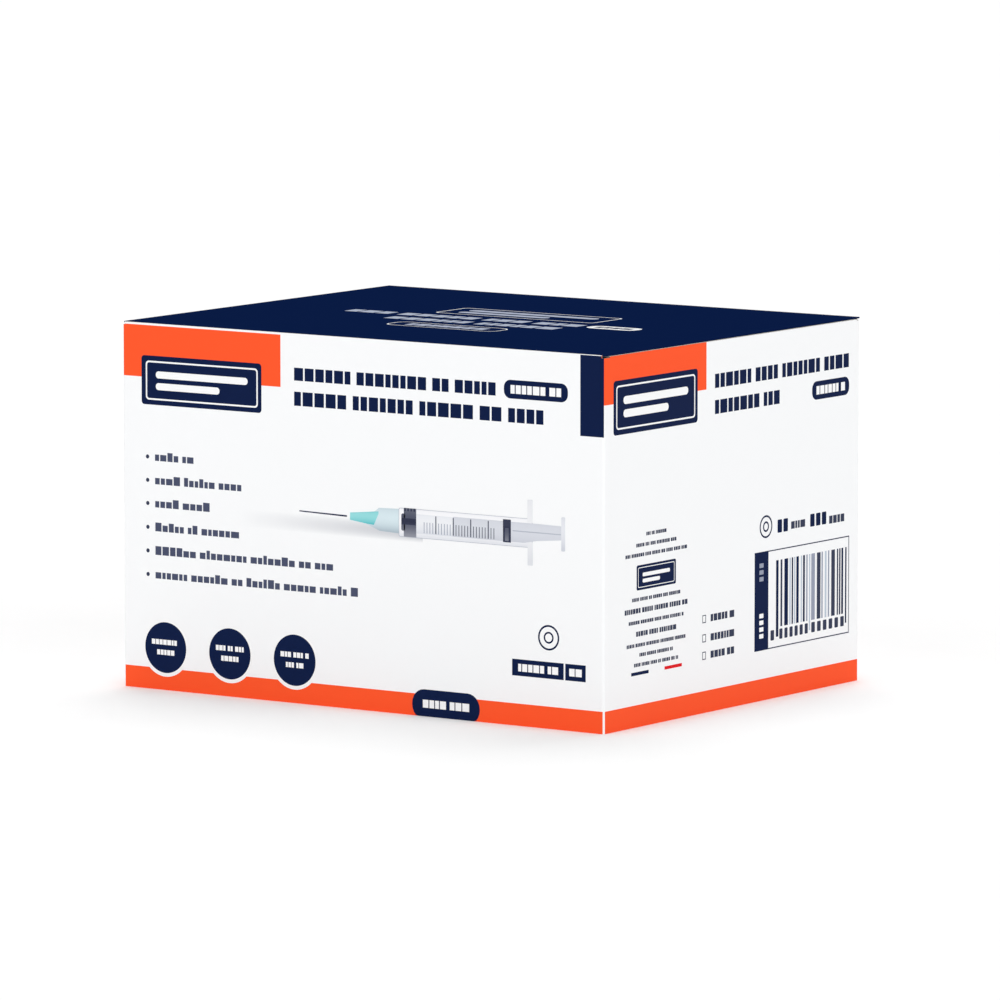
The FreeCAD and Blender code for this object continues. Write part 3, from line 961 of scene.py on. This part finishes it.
def rows_finish():
    """Paper where a pack has its backing, and cloudy film where it has its pocket."""
    finish = Finish("packed_rows", Specular_IOR_Level=0.3)
    x, y, z = finish.place()
    nz = finish.facing()[2]
    in_pair = (z - PAIR_START).math("WRAP", PAIR_PITCH, 0.0)
    film = (in_pair > 0.42) * (in_pair < 15.58)
    fibre = finish.noise(0.9, detail=4.0, stretch=(1, 0.3, 1))
    fleck = finish.noise(0.25, detail=2.0)
    across = (x - TURNED_START + PACK_PITCH / 2).math("WRAP", PACK_PITCH, 0.0) - PACK_PITCH / 2
    head = inside(across, y, *HEAD_MARK)
    foot = inside(across, y, *FOOT_MARK)
    in_line = y.math("WRAP", 8.0, 0.0)
    lines = inside(across, y, *TEXT_FIELD).least((in_line - 2.4).least(5.0 - in_line))
    up = nz > 0.9
    paper = finish.mix(fibre, colour(236, 236, 232), colour(249, 249, 247))
    paper = finish.mix(head.soft(0.3) * up, paper, NAVY)
    paper = finish.mix(foot.soft(0.3) * up, paper, ORANGE)
    paper = finish.mix(lines.soft(0.3) * up * 0.7, paper, colour(120, 128, 150))
    pocket = finish.mix(finish.noise(9.0), colour(206, 212, 216), colour(228, 232, 235))
    rough = 0.62 - film * 0.44 + fleck * 0.1
    finish.link(Base_Color=finish.mix(film, paper, pocket), Roughness=rough)
    return finish.bump(fibre * 0.6 + fleck * 0.4 + finish.noise(14.0) * film * 12, 0.03)


rows_material = rows_finish()
row_names = sorted(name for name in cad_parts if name.startswith("pack_row_"))
for name in row_names:
    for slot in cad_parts[name].material_slots:
        slot.material = rows_material
print(len(row_names), "rows of packs")

# %% [markdown]
# The four packs on top lie loose, and they are the ones seen when the lid is up. So their plain solids
# give way to whole packs: paper, formed film, and inside it a syringe with its needle under a cap.
# Everything is first made in the pack's own millimetres, with the needle towards -Y and the paper's
# underside at nought, and then copied to where the frame has each pack.

# %% Where the loose packs lie
LOOSE_TURN = 1.2
loose_names = sorted(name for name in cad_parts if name.startswith("loose_pack_"))
places = []
for number, name in enumerate(loose_names):
    low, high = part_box(name)
    middle = (low + high) / 2
    turn = -LOOSE_TURN if number % 2 == 0 else 180 + LOOSE_TURN
    rest = Matrix.Translation((middle.x, middle.y, low.z))
    places.append(rest @ Matrix.Rotation(math.radians(turn), 4, "Z") @ Matrix.Scale(MM, 4))
pack_tall = (high.z - low.z) / MM
print(loose_names, f"{pack_tall:.1f} mm tall")

# %% [markdown]
# A moulding is one kind of part in one plastic. Round parts are turned: half of their outline is spun
# about the syringe's axis, as on a lathe. Flat parts are an outline drawn across the axis and pushed
# along it. Each moulding then appears once in every pack.

# %% Mouldings
AXIS_HEIGHT = 7.0


class Moulding:
    """Parts of one finish, made once in a pack's own mm and copied to every loose pack."""

    def __init__(self, name):
        self.name = name
        self.mesh = bmesh.new()

    def turn(self, outline, sides=36):
        """Spins an outline of (along, radius) about the syringe's axis."""
        verts = [self.mesh.verts.new((radius, along, AXIS_HEIGHT)) for along, radius in outline]
        edges = [self.mesh.edges.new(pair) for pair in zip(verts, verts[1:])]
        bmesh.ops.spin(self.mesh, geom=verts + edges, cent=(0, 0, AXIS_HEIGHT), axis=(0, 1, 0),
                       angle=2 * math.pi, steps=sides, use_merge=True)
        bmesh.ops.remove_doubles(self.mesh, verts=self.mesh.verts, dist=0.0005)

    def push(self, outline, start, end):
        """Pushes an outline of (across, up), about the axis, along from start to end."""
        near = [self.mesh.verts.new((x, start, AXIS_HEIGHT + z)) for x, z in outline]
        far = [self.mesh.verts.new((x, end, AXIS_HEIGHT + z)) for x, z in outline]
        self.mesh.faces.new(near)
        self.mesh.faces.new(far[::-1])
        strip(self.mesh, near, far)

    def finish(self, finish, slot, smooth=40):
        """Copies the parts to every pack, as one piece on the carton."""
        one = mesh_of(self.name, self.mesh)
        gathered = bmesh.new()
        for at in places:
            before = len(gathered.verts)
            gathered.from_mesh(one)
            gathered.verts.ensure_lookup_table()
            bmesh.ops.transform(gathered, matrix=at, verts=gathered.verts[before:])
        mesh = bpy.data.meshes.new(self.name)
        gathered.to_mesh(mesh)
        gathered.free()
        bpy.data.meshes.remove(one)
        mesh.materials.append(finish.material)
        mesh.shade_smooth()
        mesh.set_sharp_from_angle(angle=math.radians(smooth))
        piece = object_of(self.name, mesh)
        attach(piece, "carton")
        print(self.name, len(mesh.polygons), "faces")
        return piece


# %% [markdown]
# Three plastics cover the syringe. The barrel and the cap are clear polypropylene, a little milky,
# with a gloss from the mould. A clear tube is nearly invisible where it is looked at squarely, and
# shows white along its outline, where the eye goes through more of its wall. Layer Weight gives that
# angle, and its cube keeps the white to the outline. The plunger is white and satin. The seal is
# black rubber, with a dull sheen.

# %% Plastics
def clearness(finish, middle, outline, painted_glint_alpha=0.0):
    """Alpha of a clear plastic: low where it is seen squarely, high along its outline, and raised by any
    painted glint.
    """
    aside = finish.node("LayerWeight", output=1, Blend=0.5)
    finish.link(Alpha=middle + aside * aside * aside * (outline - middle) + painted_glint_alpha)


def plastic(name, tint, rough, grain=2.0, **steady):
    """A moulded plastic with a slightly uneven shine."""
    finish = Finish(name, **steady)
    flow = finish.noise(grain, detail=2.0, stretch=(1, 0.3, 1))
    fine = finish.noise(0.2)
    finish.link(Base_Color=finish.mix(flow, tint, scaled(tint, 1.05)), Roughness=rough + flow * 0.08)
    finish.bump(flow * 0.8 + fine * 0.2, 0.01)
    return finish


clear_plastic = plastic("clear_plastic", colour(224, 232, 238), 0.08)
clearness(clear_plastic, 0.05, 0.72)
cap_plastic = plastic("cap_plastic", colour(232, 238, 242), 0.14)
clearness(cap_plastic, 0.28, 0.8)
white_plastic = plastic("white_plastic", colour(240, 241, 242), 0.32)
turquoise_plastic = plastic("turquoise_plastic", colour(60, 184, 192), 0.2)
black_rubber = plastic("black_rubber", colour(26, 27, 30), 0.5)
black_ink = plastic("graduation_ink", colour(20, 21, 28), 0.4)

# %% [markdown]
# The barrel is a tube with a luer collar and a shoulder at its front and a finger flange at its back.
# Its wall is real, so the seal and the rod are seen through it, and its outline is one closed line.

# %% Barrel
BARREL_RADIUS = 6.2
BARREL_BORE = 5.5
BARREL_FRONT = -29.0
COLLAR_FRONT = -33.6
FLANGE_AT = 39.6
barrel = Moulding("syringe_barrels")
barrel.turn([(COLLAR_FRONT, 3.0), (COLLAR_FRONT, 3.9), (BARREL_FRONT, 3.9), (BARREL_FRONT + 0.6, 4.6),
             (BARREL_FRONT + 1.4, 5.8), (BARREL_FRONT + 2.2, BARREL_RADIUS), (FLANGE_AT, BARREL_RADIUS),
             (FLANGE_AT, BARREL_BORE), (BARREL_FRONT + 2.4, BARREL_BORE), (BARREL_FRONT + 1.2, 1.2),
             (BARREL_FRONT + 0.4, 1.0), (BARREL_FRONT + 0.4, 3.0), (COLLAR_FRONT, 3.0)])
flange_end = 4.9
flange_side = 5.7
flange = []
for side, first in ((1, -90), (-1, 90)):
    for step in range(13):
        angle = math.radians(first + 180 * step / 12)
        flange.append((side * flange_side + flange_end * math.cos(angle), flange_end * math.sin(angle)))
barrel.push(flange, FLANGE_AT, FLANGE_AT + 1.6)
barrel.finish(clear_plastic, "syringe_clear")

# %% [markdown]
# The graduation is printed round the barrel, so each line is a thin curved bar that follows the
# barrel's outside. Every fifth line reaches further round.

# %% Graduation
LINE_WIDE = 0.28
LINE_PITCH = 2.2


def arc_round(radius, reach, steps=5):
    """Points round the barrel, from just past its top through that many degrees."""
    turns = [math.radians(92 - reach * step / steps) for step in range(steps + 1)]
    return [(radius * math.cos(turn), radius * math.sin(turn)) for turn in turns]


marks = Moulding("syringe_marks")
for line in range(26):
    reach = 46 if line % 5 == 0 else 28
    under = arc_round(BARREL_RADIUS + 0.01, reach)
    over = arc_round(BARREL_RADIUS + 0.05, reach)
    along = -22.0 + line * LINE_PITCH
    marks.push(under + over[::-1], along, along + LINE_WIDE)
marks.finish(black_ink, "syringe_rubber")

# %% [markdown]
# The plunger is a cross-shaped rod, the usual way to stiffen a moulding with little plastic, with a
# thumb plate at its end and a disc behind the seal. The seal has two ribs that touch the bore.

# %% Plunger and seal
ROD_HALF = 4.9
ROD_THICK = 0.6
SEAL_BACK = -21.0
THUMB_AT = 56.5
plunger = Moulding("syringe_plungers")
arm = ((ROD_HALF, -ROD_THICK), (ROD_HALF, ROD_THICK), (ROD_THICK, ROD_THICK))
cross = [(x * c - z * s, x * s + z * c) for c, s in ((1, 0), (0, 1), (-1, 0), (0, -1)) for x, z in arm]
plunger.push(cross, SEAL_BACK + 1.2, THUMB_AT)
plunger.turn([(SEAL_BACK, 0), (SEAL_BACK, 5.1), (SEAL_BACK + 1.2, 5.1), (SEAL_BACK + 1.2, 0)])
plunger.turn([(THUMB_AT, 0), (THUMB_AT, 5.6), (THUMB_AT + 0.5, 6.1), (THUMB_AT + 1.4, 6.1),
              (THUMB_AT + 1.8, 5.7), (THUMB_AT + 1.8, 0)])
plunger.finish(white_plastic, "syringe_white")
seal = Moulding("syringe_seals")
seal.turn([(BARREL_FRONT + 2.6, 0), (BARREL_FRONT + 3.4, 3.6), (BARREL_FRONT + 4.2, 5.3),
           (BARREL_FRONT + 4.4, 5.45), (BARREL_FRONT + 5.2, 5.45), (BARREL_FRONT + 5.5, 5.0),
           (BARREL_FRONT + 6.3, 5.0), (BARREL_FRONT + 6.6, 5.45), (BARREL_FRONT + 7.4, 5.45),
           (SEAL_BACK - 0.05, 5.2), (SEAL_BACK - 0.05, 0)])
seal.finish(black_rubber, "syringe_rubber")

# %% [markdown]
# The needle's hub is the turquoise that marks its gauge in the picture. The needle is inside a clear
# cap with fine ribs at its base, which is how it comes in the pack.

# %% Needle, hub and cap
needle = Moulding("needles")
needle.turn([(-78.0, 0), (-77.0, 0.3), (-45.0, 0.3), (-45.0, 0)], sides=12)
needle.finish(plastic("needle_steel", colour(196, 200, 206), 0.2, Metallic=1.0), "syringe_clear")
hub = Moulding("needle_hubs")
hub.turn([(-46.0, 0), (-46.0, 1.1), (-43.0, 1.4), (-41.0, 2.2), (-37.4, 2.4), (-37.4, 2.95),
          (-34.0, 2.95), (-34.0, 0)], sides=24)
hub.finish(turquoise_plastic, "needle_hub")
cap = Moulding("needle_caps")
cap.turn([(-84.4, 0), (-84.4, 1.6), (-83.6, 2.2), (-60.0, 2.5), (-46.0, 2.8), (-45.6, 3.1), (-38.0, 3.1),
          (-38.0, 2.6), (-46.2, 2.3), (-60.0, 2.0), (-83.0, 1.6), (-83.4, 0)], sides=30)
cap.finish(cap_plastic, "syringe_clear")

# %% [markdown]
# The paper backing is a thin sheet, and the film over it is drawn down between the pockets and sealed
# to it all round. The film's height is worked out at every point of a grid: each pocket's sides rise
# steeply at the draft of its mould, up to its own depth, and the deepest pocket wins. The grid is
# finer where a side rises.

# %% Height of the film
PACK_WIDE = 38.0
PACK_LONG = 188.0
SIDE_RISE = 1 / math.tan(math.radians(12))
POCKETS = ((5.0, -86.0, -31.0, 9.9), (8.0, -36.0, 62.0, 14.95), (12.5, 36.0, 46.0, 14.95))
EASE = 1.6


def film_height(x, y):
    """How high the film stands over the paper, in mm."""
    tall = 0.0
    for half_wide, start, end, deep in POCKETS:
        in_from_side = min(half_wide - abs(x), y - start, end - y)
        rise = max(in_from_side, 0.0) * SIDE_RISE
        ease = max(EASE - abs(rise - deep), 0.0) / EASE
        tall = max(tall, min(rise, deep) - ease * ease * 0.4)
    return max(tall, 0.0)


def grid_lines(limit, steps_at, coarse, fine, margin):
    """Places for grid lines from -limit to limit: fine near the given places, coarse elsewhere."""
    lines = [-limit]
    while lines[-1] < limit - 0.01:
        near = any(-fine <= lines[-1] - place <= margin for place in steps_at)
        lines.append(min(lines[-1] + (fine if near else coarse), limit))
    return lines


columns = grid_lines(PACK_WIDE / 2, [-13, -8.5, -5.5, 1.5, 4.5, 9], 2.0, 0.5, 3.9)
rows = grid_lines(PACK_LONG / 2, [-86.4, -36.4, -34, 36, 42.5, 58.5], 4.0, 0.6, 3.6)
print("film grid", len(columns), "by", len(rows))

# %% [markdown]
# The film is two such sheets a tenth of a millimetre apart, joined round their edge. Where it is
# sealed flat to the paper it has shrunk a little, so a chance crumple of a few hundredths goes there.

# %% Film
FILM_THICK = 0.1
SEAL_AT = 0.36
CRUMPLE = 0.06
film = Moulding("pack_films")
draw = random.Random(31)
crumple = [[draw.uniform(0.0, CRUMPLE) for _ in columns] for _ in rows]


def film_vertex(i, j, drop):
    """The vertex of one sheet at a crossing of the grid."""
    x, y = columns[i], rows[j]
    tall = film_height(x, y)
    sunk = crumple[j][i] / 2 if tall == 0 else 0.0
    return film.mesh.verts.new((x, y, SEAL_AT - drop - sunk + tall))


upper, lower = [[[film_vertex(i, j, drop) for i in range(len(columns))] for j in range(len(rows))]
                for drop in (0.0, FILM_THICK)]
for sheet in (upper, lower):
    for first, second in zip(sheet, sheet[1:]):
        strip(film.mesh, first, second, closed=False)
for i in (0, -1):
    strip(film.mesh, [row[i] for row in upper], [row[i] for row in lower], closed=False)
    strip(film.mesh, upper[i], lower[i], closed=False)
print(len(film.mesh.faces), "faces in one film")

# %% [markdown]
# The film is as clear as the barrel and glossier. Drawing has left soft creases in it, streaks of
# cloudy noise in its bump. Along the same streaks it is painted whiter and less clear: painted glints.

# %% Finish of the film
def film_finish():
    """Clear film: glossy, barely tinted, with soft creases and painted white glints along them."""
    finish = Finish("clear_film", Specular_IOR_Level=0.6)
    crease = finish.noise(7.0, detail=3.0, stretch=(1, 0.5, 1))
    # Where the creases rise, the film is painted whiter and more opaque: a painted glint.
    painted_glint = ((crease - 0.56) * 5).math("MULTIPLY", 0.14, clamp=True)
    clearness(finish, 0.035, 0.6, painted_glint)
    finish.link(Base_Color=finish.mix(crease, colour(236, 241, 244), colour(252, 253, 254)),
                Roughness=0.05 + crease * 0.12)
    finish.bump(crease, 0.5)
    return finish


film_piece = film.finish(film_finish(), "pack_film", smooth=60)

# %% [markdown]
# The backing is medical paper, which lets the gas through that sterilises the pack. It is a plain
# sheet with long soft fibres, and the sealing plate has pressed its fine knurling into it. The
# knurling is two crossed sine waves in the bump. With film and paper made, the whole packs take the
# place of the plain solids.

# %% Paper backing
KNURL = 4.2
PAPER_THICK = 0.2


def paper_finish():
    """Medical paper: white, with long fibres and the seal's fine knurling."""
    finish = Finish("medical_paper", Specular_IOR_Level=0.2)
    fibre = finish.noise(0.8, detail=4.0, stretch=(1, 0.3, 1))
    x, y = finish.place()[:2]
    knurl = (x * KNURL).math("SINE") * (y * KNURL).math("SINE")
    finish.link(Base_Color=finish.mix(fibre, colour(233, 234, 231), colour(249, 249, 247)),
                Roughness=0.66 + fibre * 0.12)
    finish.bump(fibre * 0.7 + knurl * 0.3, 0.04)
    return finish


paper = Moulding("pack_papers")
side = PACK_WIDE / 2
edge = [(x, up - AXIS_HEIGHT) for x, up in bar(-side, side, 0.0, PAPER_THICK)]
paper.push(edge, -PACK_LONG / 2, PACK_LONG / 2)
paper.finish(paper_finish(), "pack_paper")
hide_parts(*loose_names)

# %% [markdown]
# The camera stands where the picture was taken from. It is far off with a long lens, because the
# carton's upright edges are parallel in the picture and its level edges hardly close in. Its place
# is worked out from two angles and a distance, with the aim in the middle of the carton.

# %% Camera
YAW = math.radians(34.9026)
PITCH = math.radians(6.8805)
DISTANCE = 3.72618
LENS = 311.3
ASIDE = -0.003412
ABOVE = -0.000595
ahead = Vector((-math.sin(YAW) * math.cos(PITCH), math.cos(YAW) * math.cos(PITCH), -math.sin(PITCH)))
right = Vector((math.cos(YAW), math.sin(YAW), 0))
upward = right.cross(ahead)
aim = Vector((0, 0, height * MM / 2))
camera = object_of("camera", bpy.data.cameras.new("camera"))
camera.data.lens = LENS
camera.data.clip_end = 50
place = aim - right * ASIDE - upward * ABOVE - ahead * DISTANCE
turned = Matrix((right, upward, -ahead)).transposed().to_4x4()
camera.matrix_world = Matrix.Translation(place) @ turned
bpy.context.scene.camera = camera
print("camera at", [round(part, 4) for part in place])

# %% [markdown]
# The picture has a pure white ground with a soft grey shadow at the carton's foot. So the floor is a
# pale matt sheet, mixed for the camera's rays with a little plain white light: it takes the shadow,
# but the rest of it reads as white.

# %% Floor
FLOOR_HALF = 9.0
CAMERA_WHITE = 0.12
floor_mesh = bpy.data.meshes.new("floor")
corners = [(x * FLOOR_HALF, y * FLOOR_HALF, 0) for x, y in ((-1, -1), (1, -1), (1, 1), (-1, 1))]
floor_mesh.from_pydata(corners, [], [(0, 1, 2, 3)])
floor = object_of("floor", floor_mesh)


def seen_directly(tree, *kinds):
    """1 for rays of those kinds, which show the ground, and 0 for the light on the object."""
    path = tree.nodes.new("ShaderNodeLightPath")
    rays = [Value(tree, path.outputs[f"Is {kind} Ray"]) for kind in kinds]
    seen = rays[0]
    for ray in rays[1:]:
        seen = seen.most(ray)
    return seen


matt = Finish("floor", Roughness=1.0, Specular_IOR_Level=0.0)
grain = matt.noise(30.0)
matt.link(Base_Color=matt.mix(grain, colour(253, 253, 253), colour(255, 255, 255)))
glow = matt.node("Emission", Strength=1.0)
blend = matt.tree.nodes.new("ShaderNodeMixShader")
direct = seen_directly(matt.tree, "Camera", "Glossy", "Transmission")
layers = (direct * CAMERA_WHITE, Value(matt.tree, matt.shader.outputs[0]), glow)
for socket, value in zip(blend.inputs, layers):
    plug(matt.tree, socket, value)
matt.tree.links.new(blend.outputs[0], matt.tree.nodes["Material Output"].inputs[0])
floor_mesh.materials.append(matt.material)
print("floor", 2 * FLOOR_HALF, "m across")

# %% [markdown]
# A world is a tree of its own. Its light is a soft grey for the object and plain white for the
# camera, and Light Path tells the two apart.

# %% World
SKY_LIGHT = 0.53
world = bpy.data.worlds.new("studio")
bpy.context.scene.world = world
world.use_nodes = True
sky = world.node_tree.nodes["Background"]
sky.inputs["Color"].default_value = (1, 1, 1, 1)
direct = seen_directly(world.node_tree, "Camera", "Transmission")
plug(world.node_tree, sky.inputs["Strength"], direct * (1 - SKY_LIGHT) + SKY_LIGHT)
print("sky", SKY_LIGHT)

# %% [markdown]
# Three very soft suns finish the light. The first stands high behind the carton, so its shadow falls
# below the two walls that are seen, as in the picture. The other two stand low and fill the front and
# the end, so that both walls read about equally white without clipping. The flaps inside face up and
# get the most light: seen from the front they keep their grain, but from behind their blue clips. A
# wide angle keeps the shadows soft.

# %% Suns
def soft_sun(name, strength, towards, spread):
    """A sun lamp that shines along that direction, with a wide soft disc."""
    lamp = bpy.data.lights.new(name, "SUN")
    lamp.energy = strength
    lamp.angle = math.radians(spread)
    sun = object_of(name, lamp)
    sun.rotation_euler = Vector(towards).to_track_quat("-Z", "Y").to_euler()


soft_sun("back", 1.1, (0.25, -0.6, -1.3), 40)
soft_sun("front", 0.75, (0.25, 0.9, -0.35), 70)
soft_sun("side", 0.93, (-0.9, 0.3, -0.35), 70)
bpy.context.scene.view_settings.view_transform = "Standard"
print("lamps", [lamp.name for lamp in bpy.data.lights])
